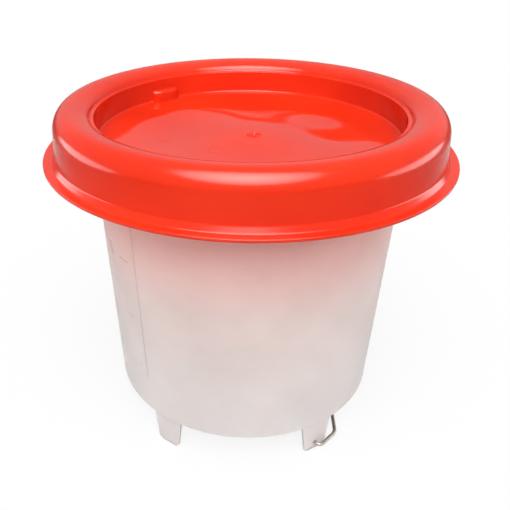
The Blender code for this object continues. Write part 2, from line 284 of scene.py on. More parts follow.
@dataclass(frozen=True)
class MilkyPolypropylene:
    """Natural polypropylene with no pigment, injection moulded.

    It gives the eye a pale satin skin that lets light through; the tray's red near the mouth is painted
    in, as a pink base colour and a faint emission, and fades over about a hand's width.
    """

    name: str = "milky_polypropylene_moulded"
    cloud_low: str = "#f4f4f4"
    cloud_high: str = "#ffffff"
    painted_glow_low_m: float = 0.030
    painted_glow_high_m: float = 0.230
    ior: float = 1.49
    roughness: float = 0.42
    cloud_mm: float = 45.0
    grain_mm: float = 1.6
    grain_depth_mm: float = 0.006
    grain_strength: float = 0.4
    scatter: float = 0.30
    scatter_m: Triple = (0.008, 0.006, 0.005)
    painted_glow_colour: str = "#ff6a50"
    painted_glow_start: float = 0.55
    painted_glow_strength: float = 0.15

    def make(self) -> bpy.types.Material:
        """Build the material.

        Returns:
            The new material.
        """
        material, tree = new_material(self.name)
        place = add_node(tree, "ShaderNodeTexCoord", {}, {}).outputs["Object"]
        height = add_node(tree, "ShaderNodeSeparateXYZ", {}, {"Vector": place}).outputs["Z"]
        # Painted light: the base colour runs from milky grey to pink at the mouth, for the tray's red light
        # through the wall; the pink fades away from the mouth.
        fade = add_node(
            tree,
            "ShaderNodeMapRange",
            {"From Min": self.painted_glow_low_m, "From Max": self.painted_glow_high_m},
            {"Value": height},
        )
        painted_glow_tint = add_node(tree, "ShaderNodeValToRGB", {}, {"Fac": fade.outputs["Result"]})
        fill_ramp(
            painted_glow_tint,
            [
                (0.0, "#cbc4c2"),
                (0.30, "#d2c6c2"),
                (0.52, "#dcc7c2"),
                (0.70, "#ecc4bd"),
                (0.86, "#fbc0b6"),
                (1.0, "#ffb0a1"),
            ],
        )
        # Painted glow: a faint red emission stands for light that has come through the tray and out again
        # through the wall, strongest at the mouth.
        painted_glow = add_node(
            tree,
            "ShaderNodeMapRange",
            {"From Min": self.painted_glow_start, "To Max": self.painted_glow_strength},
            {"Value": fade.outputs["Result"]},
        )
        # Cloudiness of the unpigmented wall, about 45 mm across.
        cloud = add_node(
            tree,
            "ShaderNodeTexNoise",
            {"Scale": 1.0 / (self.cloud_mm * MM), "Detail": 3.0, "Roughness": 0.5},
            {"Vector": place},
        )
        veil = add_node(tree, "ShaderNodeValToRGB", {}, {"Fac": cloud.outputs["Fac"]})
        fill_ramp(veil, [(0.30, self.cloud_low), (0.70, self.cloud_high)])
        colour = add_node(
            tree,
            "ShaderNodeMix",
            {"data_type": "RGBA", "blend_type": "MULTIPLY", 0: 1.0},
            {6: painted_glow_tint.outputs["Color"], 7: veil.outputs["Color"]},
        )
        # Fine texture of the spark-eroded tool, drawn at 1.6 mm so that it shows at all.
        grain = add_node(
            tree,
            "ShaderNodeTexNoise",
            {"Scale": 1.0 / (self.grain_mm * MM), "Detail": 3.0, "Roughness": 0.6},
            {"Vector": place},
        )
        bump = add_node(
            tree,
            "ShaderNodeBump",
            {"Strength": self.grain_strength, "Distance": self.grain_depth_mm * MM},
            {"Height": grain.outputs["Fac"]},
        )
        shader = add_node(
            tree,
            "ShaderNodeBsdfPrincipled",
            {
                "IOR": self.ior,
                "Roughness": self.roughness,
                "Subsurface Weight": self.scatter,
                "Subsurface Radius": self.scatter_m,
                "Subsurface Scale": 1.0,
                # Painted glow: this emission is no lamp, it stands for the tray's red light coming through
                # the wall.
                "Emission Color": linear(self.painted_glow_colour),
            },
            {
                "Base Color": colour.outputs[2],
                "Normal": bump.outputs["Normal"],
                "Emission Strength": painted_glow.outputs["Result"],
            },
        )
        add_node(tree, "ShaderNodeOutputMaterial", {}, {"Surface": shader.outputs["BSDF"]})
        return material


@dataclass(frozen=True)
class DrawnSteelWire:
    """Galvanised steel wire, drawn and bent cold.

    It gives the eye a grey metal with fine lines along the wire and dull zinc patches.
    """

    name: str = "galvanised_steel_wire_drawn"
    bright: str = "#cdc4b8"
    dull: str = "#9f968a"
    roughness_low: float = 0.28
    roughness_high: float = 0.50
    patch_mm: float = 3.0
    patch_depth_mm: float = 0.02
    patch_strength: float = 0.5

    def make(self) -> bpy.types.Material:
        """Build the material.

        Returns:
            The new material.
        """
        material, tree = new_material(self.name)
        place = add_node(tree, "ShaderNodeTexCoord", {}, {}).outputs["Object"]
        # Zinc patches about 3 mm across.
        patch = add_node(
            tree,
            "ShaderNodeTexNoise",
            {"Scale": 1.0 / (self.patch_mm * MM), "Detail": 5.0, "Roughness": 0.6},
            {"Vector": place},
        )
        tint = add_node(tree, "ShaderNodeValToRGB", {}, {"Fac": patch.outputs["Fac"]})
        fill_ramp(tint, [(0.35, self.dull), (0.65, self.bright)])
        gloss = add_node(
            tree,
            "ShaderNodeMapRange",
            {"To Min": self.roughness_low, "To Max": self.roughness_high},
            {"Value": patch.outputs["Fac"]},
        )
        bump = add_node(
            tree,
            "ShaderNodeBump",
            {"Strength": self.patch_strength, "Distance": self.patch_depth_mm * MM},
            {"Height": patch.outputs["Fac"]},
        )
        shader = add_node(
            tree,
            "ShaderNodeBsdfPrincipled",
            {"Metallic": 1.0},
            {
                "Base Color": tint.outputs["Color"],
                "Roughness": gloss.outputs["Result"],
                "Normal": bump.outputs["Normal"],
            },
        )
        add_node(tree, "ShaderNodeOutputMaterial", {}, {"Surface": shader.outputs["BSDF"]})
        return material


@dataclass(frozen=True)
class PaperFloor:
    """White background paper under the object: matt, and white to the camera where it isn't in shadow."""

    name: str = "white_background_paper"
    colour: str = "#d6d6d6"
    ground_colour: str = "#808080"
    near_share: float = 0.86
    far_share: float = 1.0
    near_m: float = 0.12
    far_m: float = 0.42
    paper_middle: Triple = (0.0, -0.35, 0.0)
    paper_shape: Triple = (1.25, 1.0, 1.0)
    paper_m: float = 0.60
    ground_m: float = 1.00

    def make(self) -> bpy.types.Material:
        """Build the material.

        Returns:
            The new material.
        """
        material, tree = new_material(self.name)
        place = add_node(tree, "ShaderNodeTexCoord", {}, {}).outputs["Object"]
        radius = add_node(tree, "ShaderNodeVectorMath", {"operation": "LENGTH"}, {0: place})
        # The paper lies under and behind the object; the studio's darker ground begins round it.
        moved = add_node(tree, "ShaderNodeVectorMath", {"operation": "ADD", 1: self.paper_middle}, {0: place})
        shaped = add_node(
            tree,
            "ShaderNodeVectorMath",
            {"operation": "MULTIPLY", 1: self.paper_shape},
            {0: moved.outputs["Vector"]},
        )
        reach = add_node(tree, "ShaderNodeVectorMath", {"operation": "LENGTH"}, {0: shaped.outputs["Vector"]})
        ground = add_node(
            tree,
            "ShaderNodeMapRange",
            {"From Min": self.paper_m, "From Max": self.ground_m},
            {"Value": reach.outputs["Value"]},
        )
        shade = add_node(tree, "ShaderNodeValToRGB", {}, {"Fac": ground.outputs["Result"]})
        fill_ramp(shade, [(0.0, self.colour), (1.0, self.ground_colour)])
        paper = add_node(tree, "ShaderNodeBsdfDiffuse", {}, {"Color": shade.outputs["Color"]})
        white = add_node(tree, "ShaderNodeEmission", {"Strength": 1.0}, {})
        # The camera sees mostly plain white, a little less of it in the contact shadow.
        path = add_node(tree, "ShaderNodeLightPath", {}, {})
        seen = add_node(
            tree,
            "ShaderNodeMath",
            {"operation": "ADD"},
            {0: path.outputs["Is Camera Ray"], 1: path.outputs["Is Transmission Ray"]},
        )
        spread = add_node(
            tree,
            "ShaderNodeMapRange",
            {
                "From Min": self.near_m,
                "From Max": self.far_m,
                "To Min": self.near_share,
                "To Max": self.far_share,
            },
            {"Value": radius.outputs["Value"]},
        )
        share = add_node(
            tree,
            "ShaderNodeMath",
            {"operation": "MULTIPLY"},
            {0: seen.outputs[0], 1: spread.outputs["Result"]},
        )
        mixed = add_node(
            tree,
            "ShaderNodeMixShader",
            {},
            {0: share.outputs[0], 1: paper.outputs[0], 2: white.outputs[0]},
        )
        add_node(tree, "ShaderNodeOutputMaterial", {}, {"Surface": mixed.outputs[0]})
        return material


def deselect_all() -> None:
    """Leave nothing selected and nothing active."""
    for obj in bpy.context.view_layer.objects:
        obj.select_set(False)
    bpy.context.view_layer.objects.active = None


def activate(obj: bpy.types.Object) -> None:
    """Select one object alone and make it active.

    Args:
        obj: The object.
    """
    deselect_all()
    obj.select_set(True)
    bpy.context.view_layer.objects.active = obj


def edit_mode(obj: bpy.types.Object) -> None:
    """Open an object in edit mode with all of its mesh selected.

    Args:
        obj: The object.
    """
    activate(obj)
    bpy.ops.object.mode_set(mode="EDIT")
    bpy.ops.mesh.select_all(action="SELECT")


def object_mode() -> None:
    """Leave edit mode."""
    bpy.ops.object.mode_set(mode="OBJECT")


def apply_place(obj: bpy.types.Object, placement: Matrix) -> None:
    """Put an object's place into its mesh and leave the object at the origin."""
    obj.data.transform(placement)
    obj.matrix_world = Matrix.Identity(4)


def arc(centre: Point, radii: Point, start_deg: float, end_deg: float, step_mm: float) -> Outline:
    """Return the points of an elliptical arc, both ends included.

    Args:
        centre: Radius and height of the centre.
        radii: Half axes across and up.
        start_deg: First angle.
        end_deg: Last angle.
        step_mm: Longest run between two points.

    Returns:
        The points in order.
    """
    start, end = math.radians(start_deg), math.radians(end_deg)
    steps = max(3, math.ceil(abs(end - start) * max(radii) / (step_mm * MM)))
    angles = [start + (end - start) * k / steps for k in range(steps + 1)]
    return [(centre[0] + radii[0] * math.cos(a), centre[1] + radii[1] * math.sin(a)) for a in angles]


def normal_arc(start: Point, radius: float, first_deg: float, last_deg: float, step_mm: float) -> Outline:
    """Return a round flank that rises outwards from a point, by the slope of its normal.

    Args:
        start: The first point.
        radius: Radius of the round.
        first_deg: Angle of the normal over the horizon at the first point.
        last_deg: Angle of the normal at the last point.
        step_mm: Longest run between two points.

    Returns:
        The points, both ends included.
    """
    first = math.radians(first_deg)
    centre = (start[0] + radius * math.cos(first), start[1] - radius * math.sin(first))
    return arc(centre, (radius, radius), 180.0 - first_deg, 180.0 - last_deg, step_mm)


def line(start: Point, end: Point, step_mm: float) -> Outline:
    """Return evenly spaced points on a straight run.

    Args:
        start: Where the run begins, which isn't among the points.
        end: The last point.
        step_mm: Longest run between two points.

    Returns:
        The points in order.
    """
    steps = max(1, math.ceil(math.dist(start, end) / (step_mm * MM)))
    return [
        (start[0] + (end[0] - start[0]) * k / steps, start[1] + (end[1] - start[1]) * k / steps)
        for k in range(1, steps + 1)
    ]


def round_corner(before: Point, corner: Point, after: Point, radius: float, step_deg: float) -> Outline:
    """Return the points of a round bend between two straight runs in a plane.

    Args:
        before: A point on the first run.
        corner: Where the two runs would meet.
        after: A point on the second run.
        radius: Radius of the bend.
        step_deg: Largest turn between two points.

    Returns:
        The points in order.
    """
    back = (Vector(before) - Vector(corner)).normalized()
    ahead = (Vector(after) - Vector(corner)).normalized()
    half = back.angle(ahead) / 2.0
    centre = Vector(corner) + (back + ahead).normalized() * (radius / math.sin(half))
    first = Vector(corner) + back * (radius / math.tan(half)) - centre
    turn = math.pi - 2.0 * half
    if first.y * back.x - first.x * back.y < 0.0:
        turn = -turn
    steps = max(2, math.ceil(abs(math.degrees(turn)) / step_deg))
    bend = [Matrix.Rotation(turn * k / steps, 2) @ first + centre for k in range(steps + 1)]
    return [(point.x, point.y) for point in bend]


def draw_outline(name: str, outline: Outline, closed: bool) -> bpy.types.Object:
    """Draw an outline of radius and height by extruding one vertex along it.

    Args:
        name: Name of the new object.
        outline: The points.
        closed: Whether the outline is a loop that is filled with a face.

    Returns:
        The object, left in edit mode with all selected.
    """
    deselect_all()
    bpy.ops.mesh.primitive_plane_add(size=MM)
    obj = bpy.context.object
    obj.name = name
    edit_mode(obj)
    bpy.ops.mesh.merge(type="CENTER")
    bpy.ops.transform.translate(value=(outline[0][0], 0.0, outline[0][1]))
    for (r0, z0), (r1, z1) in zip(outline, outline[1:]):
        bpy.ops.mesh.extrude_region_move(TRANSFORM_OT_translate={"value": (r1 - r0, 0.0, z1 - z0)})
    bpy.ops.mesh.select_all(action="SELECT")
    if closed:
        bpy.ops.mesh.edge_face_add()
    return obj


def turn_outline(name: str, outline: Outline, steps: int) -> bpy.types.Object:
    """Spin an open outline that starts and ends on the axis into a closed round solid.

    Args:
        name: Name of the new object.
        outline: The points of radius and height.
        steps: Steps in the full turn.

    Returns:
        The closed solid.
    """
    obj = draw_outline(name, outline, closed=False)
    bpy.ops.mesh.spin(steps=steps, angle=FULL_TURN, center=(0.0, 0.0, 0.0), axis=(0.0, 0.0, 1.0))
    bpy.ops.mesh.select_all(action="SELECT")
    bpy.ops.mesh.remove_doubles(threshold=WELD)
    bpy.ops.mesh.normals_make_consistent(inside=False)
    object_mode()
    return obj


def turn_block(name: str, outline: Outline, start: float, span: float) -> bpy.types.Object:
    """Spin a filled outline through part of a turn into a curved block.

    Args:
        name: Name of the new object.
        outline: Corners of radius and height.
        start: Angle of the first end, in radians.
        span: Angle between the ends, in radians.

    Returns:
        The closed block.
    """
    obj = draw_outline(name, outline, closed=True)
    steps = max(4, math.ceil(math.degrees(span)))
    bpy.ops.mesh.spin(steps=steps, angle=span, center=(0.0, 0.0, 0.0), axis=(0.0, 0.0, 1.0))
    bpy.ops.mesh.select_all(action="SELECT")
    bpy.ops.mesh.remove_doubles(threshold=WELD)
    bpy.ops.mesh.normals_make_consistent(inside=False)
    object_mode()
    middle = sum((v.co for v in obj.data.vertices), Vector()) / len(obj.data.vertices)
    spun = math.atan2(middle.y, middle.x)
    apply_place(obj, Matrix.Rotation(start + span / 2.0 - spun, 4, "Z"))
    return obj


def join_solid(target: bpy.types.Object, tool: bpy.types.Object, how: Join) -> None:
    """Add a tool solid to a piece, or cut it away, and remove the tool.

    Args:
        target: The piece.
        tool: The solid that acts on it.
        how: Whether the tool is added, cut away, or bounds what stays.
    """
    activate(target)
    modifier = target.modifiers.new(tool.name, "BOOLEAN")
    modifier.operation = how.value
    modifier.solver = "EXACT"
    modifier.object = tool
    bpy.ops.object.modifier_apply(modifier=modifier.name)
    bpy.data.objects.remove(tool)
    bpy.context.view_layer.update()


def bevel_edges(obj: bpy.types.Object, width: float, segments: int, angle_deg: float) -> None:
    """Round the edges of a piece that are sharper than an angle.

    Args:
        obj: The piece.
        width: Width of the rounding.
        segments: Facets across it.
        angle_deg: The angle.
    """
    activate(obj)
    modifier = obj.modifiers.new("Round", "BEVEL")
    modifier.width = width
    modifier.segments = segments
    modifier.limit_method = "ANGLE"
    modifier.angle_limit = math.radians(angle_deg)
    bpy.ops.object.modifier_apply(modifier=modifier.name)


def dress(
    obj: bpy.types.Object, material: bpy.types.Material, body: Body, nodes: tuple[str, ...] = ()
) -> bpy.types.Object:
    """Shade a finished piece, give it its material and tie it to its body.

    Args:
        obj: The piece.
        material: Its finish.
        body: The body it rides on.
        nodes: CAD nodes that it stands for.

    Returns:
        The piece.
    """
    activate(obj)
    bpy.ops.object.shade_smooth_by_angle(angle=SMOOTH_ANGLE)
    obj.data.materials.clear()
    obj.data.materials.append(material)
    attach(obj, body.value)
    if nodes:
        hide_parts(*nodes)
    LOG.info("piece %s: %d faces, rides on %s", obj.name, len(obj.data.polygons), body.value)
    return obj


@dataclass
class Levels:
    """Heights and radii that the reservoir, the tray and the bail share, in metres."""

    foot_height: float = 27.0 * MM
    reservoir_height: float = 200.0 * MM
    end_radius: float = 105.3 * MM
    mouth_radius: float = 114.2 * MM
    seat_gap: float = 0.3 * MM
    lug_reach: float = 1.9 * MM
    lug_thickness: float = 2.6 * MM
    lug_inset: float = 2.5 * MM
    hook_clearance: float = 0.35 * MM
    outlet_angle: float = math.radians(130.5)
    lug_count: int = 4
    hook_run: float = math.radians(17.0)
    foot_angle: float = math.radians(56.0)
    foot_thickness: float = 2.6 * MM
    foot_inset: float = 1.7 * MM
    hole_height: float = 6.8 * MM
    wire_radius: float = 1.45 * MM

    @property
    def mouth_z(self) -> float:
        """Height of the reservoir's mouth."""
        return self.foot_height + self.reservoir_height

    @property
    def seat_z(self) -> float:
        """Height of the tray's centre plate over the mouth."""
        return self.mouth_z + self.seat_gap

    @property
    def lug_high(self) -> float:
        """Upper side of the bayonet lugs."""
        return self.mouth_z - self.lug_inset

    @property
    def lug_low(self) -> float:
        """Lower side of the bayonet lugs."""
        return self.lug_high - self.lug_thickness

    @property
    def hook_radius(self) -> float:
        """Inner radius of the hooks' walls."""
        return self.mouth_radius + self.lug_reach + self.hook_clearance

    @property
    def foot_face(self) -> float:
        """Distance from the axis to the outer face of a foot."""
        return self.end_radius - self.foot_inset

    def hook_angles(self) -> list[float]:
        """Return the middle angle of each bayonet hook."""
        return [self.outlet_angle + (k + 0.5) * FULL_TURN / self.lug_count for k in range(self.lug_count)]

    def foot_placement(self, angle: float) -> Matrix:
        """Return a foot's frame: X along the rim, Y up, Z outwards from the middle of its wall.

        Args:
            angle: The foot's angle about the axis, in radians.

        Returns:
            The frame, with its origin on the floor.
        """
        outward = Vector((math.cos(angle), math.sin(angle), 0.0))
        along = Vector((-outward.y, outward.x, 0.0))
        centre = outward * (self.foot_face - self.foot_thickness / 2.0)
        turn = Matrix((along, Vector((0.0, 0.0, 1.0)), outward)).transposed()
        return Matrix.Translation(centre) @ turn.to_4x4()

    def wall_radius(self, z: float) -> float:
        """Return the reservoir's outer radius at a height above the floor."""
        share = (z - self.foot_height) / self.reservoir_height
        return self.end_radius + (self.mouth_radius - self.end_radius) * share


@dataclass
class Reservoir:
    """The milky bucket with its four feet, bayonet lugs and litre marks."""

    levels: Levels
    wall: float = 2.2 * MM
    end_thickness: float = 2.6 * MM
    fillet: float = 2.0 * MM
    inner_fillet: float = 1.4 * MM
    mouth_round: float = 0.5 * MM
    steps: int = 240
    flat_step_mm: float = 8.0
    wall_step_mm: float = 7.0
    fillet_step_mm: float = 0.4
    round_step_mm: float = 0.3
    foot_root: float = 26.0 * MM
    foot_tip: float = 18.4 * MM
    foot_corner: float = 2.4 * MM
    foot_edge: float = 0.45 * MM
    hole_clearance: float = 0.3 * MM
    drill_share: float = 3.0
    lug_span: float = math.radians(15.0)
    lug_edge: float = 0.3 * MM
    rib_angle: float = math.radians(227.0)
    tick_angle: float = math.radians(219.7)
    numeral_angle: float = math.radians(209.0)
    mark_heights: tuple[float, ...] = (0.066, 0.113, 0.160, 0.207)
    numerals: tuple[str, ...] = ("1", "3", "5", "7")
    tick_length: float = 10.0 * MM
    mark_relief: float = 0.30 * MM
    relief_share: float = 0.6
    rib_width: float = 0.8 * MM
    rib_overrun: float = 6.0 * MM
    digit_height: float = 12.0 * MM
    digit_scale: float = 1.35
    digit_edge: float = 0.08 * MM

    def section(self) -> Outline:
        """Draw the bucket's section, inside from the axis to the mouth and back outside.

        Returns:
            The points of radius and height.
        """
        lv = self.levels
        floor_z = lv.foot_height + self.end_thickness
        inner_fillet = self.inner_fillet
        inner_side = lv.wall_radius(floor_z + inner_fillet) - self.wall
        side = lv.wall_radius(lv.foot_height + self.fillet)
        edge = self.mouth_round
        points = [(0.0, floor_z)]
        points += line((0.0, floor_z), (inner_side - inner_fillet - MM, floor_z), self.flat_step_mm)
        points += arc(
            (inner_side - inner_fillet, floor_z + inner_fillet),
            (inner_fillet, inner_fillet),
            -90.0,
            0.0,
            self.fillet_step_mm,
        )
        inner_mouth = (lv.mouth_radius - self.wall, lv.mouth_z)
        points += line(points[-1], (inner_mouth[0], inner_mouth[1] - edge - MM), self.wall_step_mm)
        round_step = self.round_step_mm
        points += arc((inner_mouth[0] + edge, lv.mouth_z - edge), (edge, edge), 180.0, 90.0, round_step)
        points += arc((lv.mouth_radius - edge, lv.mouth_z - edge), (edge, edge), 90.0, 0.0, round_step)
        points += line(points[-1], (side, lv.foot_height + self.fillet + MM), self.wall_step_mm)
        points += arc(
            (side - self.fillet, lv.foot_height + self.fillet),
            (self.fillet, self.fillet),
            0.0,
            -90.0,
            self.fillet_step_mm,
        )
        points += line(points[-1], (0.0, lv.foot_height), self.flat_step_mm)
        return points

    def foot(self, name: str, angle: float) -> bpy.types.Object:
        """Shape one foot from a cube: tapered to its tip, its corners and edges rounded.

        Args:
            name: Name of the foot.
            angle: Its angle about the axis, in radians.

        Returns:
            The foot in its place.
        """
        lv = self.levels
        height = lv.foot_height + self.end_thickness / 2.0
        deselect_all()
        bpy.ops.mesh.primitive_cube_add(size=1.0)
        foot = bpy.context.object
        foot.name = name
        apply_place(
            foot,
            Matrix.Translation((0.0, height / 2.0, 0.0))
            @ Matrix.Diagonal((self.foot_root, height, lv.foot_thickness, 1.0)),
        )
        edit_mode(foot)
        bpy.ops.mesh.select_all(action="DESELECT")
        object_mode()
        for vertex in foot.data.vertices:
            vertex.select = vertex.co.y < height / 2.0
        bpy.ops.object.mode_set(mode="EDIT")
        bpy.ops.transform.resize(
            value=(self.foot_tip / self.foot_root, 1.0, 1.0), center_override=(0.0, 0.0, 0.0)
        )
        bpy.ops.mesh.select_all(action="DESELECT")
        object_mode()
        for edge in foot.data.edges:
            ends = [foot.data.vertices[k].co for k in edge.vertices]
            edge.select = all(p.y < height / 2.0 for p in ends) and abs(ends[0].x - ends[1].x) < MM
        bpy.ops.object.mode_set(mode="EDIT")
        bpy.ops.mesh.select_mode(type="EDGE")
        bpy.ops.mesh.bevel(offset=self.foot_corner, segments=6, affect="EDGES")
        bpy.ops.mesh.select_mode(type="VERT")
        object_mode()
        bevel_edges(foot, self.foot_edge, 2, SHARP_DEG)
        apply_place(foot, lv.foot_placement(angle))
        return foot

    def drill(self, angle: float) -> bpy.types.Object:
        """Make the cutter for a bail hole in a foot.

        Args:
            angle: The foot's angle about the axis, in radians.

        Returns:
            A round bar that passes through the foot.
        """
        lv = self.levels
        radius = lv.wire_radius + self.hole_clearance
        deselect_all()
        depth = lv.foot_thickness * self.drill_share
        bpy.ops.mesh.primitive_cylinder_add(vertices=32, radius=radius, depth=depth)
        cutter = bpy.context.object
        cutter.name = "bail_hole"
        apply_place(cutter, lv.foot_placement(angle) @ Matrix.Translation((0.0, lv.hole_height, 0.0)))
        return cutter

    def lug(self, number: int, angle: float) -> bpy.types.Object:
        """Make one bayonet lug for the outside of the mouth.

        Args:
            number: The lug's number.
            angle: Middle angle of its hook, in radians.

        Returns:
            The lug in its place.
        """
        lv = self.levels
        inner = lv.mouth_radius - self.wall / 2.0
        outer = lv.mouth_radius + lv.lug_reach
        corners = [(inner, lv.lug_low), (outer, lv.lug_low), (outer, lv.lug_high), (inner, lv.lug_high)]
        end = angle + lv.hook_run / 2.0 - lv.hook_clearance / lv.mouth_radius
        block = turn_block(f"lug_{number}", corners, end - self.lug_span, self.lug_span)
        bevel_edges(block, self.lug_edge, 2, SHARP_DEG)
        return block

    def wall_frame(self, angle: float, z: float) -> Matrix:
        """Return a frame on the outside of the wall: X to the right, Y up the slope, Z outwards.

        Args:
            angle: Angle about the axis, in radians.
            z: Height over the floor.

        Returns:
            The frame, with its origin on the skin.
        """
        lv = self.levels
        slope = math.atan2(lv.mouth_radius - lv.end_radius, lv.reservoir_height)
        outward = Vector((math.cos(angle), math.sin(angle), 0.0))
        along = Vector((-outward.y, outward.x, 0.0))
        up = Vector((0.0, 0.0, 1.0)) * math.cos(slope) + outward * math.sin(slope)
        normal = along.cross(up)
        centre = outward * lv.wall_radius(z) + Vector((0.0, 0.0, z))
        return Matrix.Translation(centre) @ Matrix((along, up, normal)).transposed().to_4x4()

    def relief_bar(self, name: str, width: float, height: float) -> bpy.types.Object:
        """Make a slim bar for the litre marks, flat on X and Y, half of it under the skin.

        Args:
            name: Name of the bar.
            width: Size along X.
            height: Size along Y.

        Returns:
            The bar, centred on the origin.
        """
        deselect_all()
        bpy.ops.mesh.primitive_cube_add(size=1.0)
        bar = bpy.context.object
        bar.name = name
        apply_place(bar, Matrix.Diagonal((width, height, 2.0 * self.mark_relief, 1.0)))
        bevel_edges(bar, self.mark_relief * self.relief_share, 2, SHARP_DEG)
        return bar

    def digit(self, text: str) -> bpy.types.Object:
        """Make a plain numeral, flat on X and Y.

        Args:
            text: The figure.

        Returns:
            Its mesh, centred on the origin.
        """
        deselect_all()
        bpy.ops.object.text_add()
        glyph = bpy.context.object
        glyph.data.body = text
        glyph.data.size = self.digit_height * self.digit_scale
        glyph.data.align_x = "CENTER"
        glyph.data.align_y = "CENTER"
        glyph.data.extrude = self.mark_relief * self.relief_share
        glyph.data.bevel_depth = self.digit_edge
        glyph.data.resolution_u = 6
        bpy.ops.object.convert(target="MESH")
        mesh_object = bpy.context.object
        edit_mode(mesh_object)
        bpy.ops.mesh.remove_doubles(threshold=WELD)
        object_mode()
        return mesh_object

    def litre_marks(self) -> list[bpy.types.Object]:
        """Make the scale: a rib up the wall, and a tick and a numeral at each mark.

        Returns:
            Its pieces, each in its place.
        """
        marks: list[bpy.types.Object] = []
        low, high = self.mark_heights[0] - self.rib_overrun, self.mark_heights[-1] + self.rib_overrun
        rib = self.relief_bar("scale_rib", self.rib_width, high - low)
        apply_place(rib, self.wall_frame(self.rib_angle, (low + high) / 2.0))
        marks.append(rib)
        for number, (text, z) in enumerate(zip(self.numerals, self.mark_heights)):
            tick = self.relief_bar(f"scale_tick_{number}", self.tick_length, self.rib_width)
            apply_place(tick, self.wall_frame(self.tick_angle, z))
            marks.append(tick)
            numeral = self.digit(text)
            numeral.name = f"scale_numeral_{number}"
            apply_place(numeral, self.wall_frame(self.numeral_angle, z))
            marks.append(numeral)
        return marks

    def build(self, finish: bpy.types.Material) -> None:
        """Build and dress the bucket and its litre marks.

        Args:
            finish: The material of all its pieces.
        """
        lv = self.levels
        bucket = turn_outline("reservoir_moulding", self.section(), self.steps)
        angles = (-lv.foot_angle, lv.foot_angle, math.pi - lv.foot_angle, math.pi + lv.foot_angle)
        for number, angle in enumerate(angles):
            join_solid(bucket, self.foot(f"foot_{number}", angle), Join.ADD)
        for angle in (angles[0], angles[2]):
            join_solid(bucket, self.drill(angle), Join.CUT)
        for number, angle in enumerate(lv.hook_angles()):
            join_solid(bucket, self.lug(number, angle), Join.ADD)
        dress(bucket, finish, Body.RESERVOIR, ("reservoir",))
        for mark in self.litre_marks():
            dress(mark, finish, Body.RESERVOIR)


@dataclass(frozen=True)
class Dent:
    """A soft hollow or rise that cooling left in the plate, in millimetres."""

    x: float
    y: float
    reach: float
    height: float

    def lift(self, x: float, y: float) -> float:
        """Return the dent's height at a place, both in metres."""
        away = math.hypot(x / MM - self.x, y / MM - self.y) / self.reach
        return self.height * MM * math.exp(-0.5 * away * away)


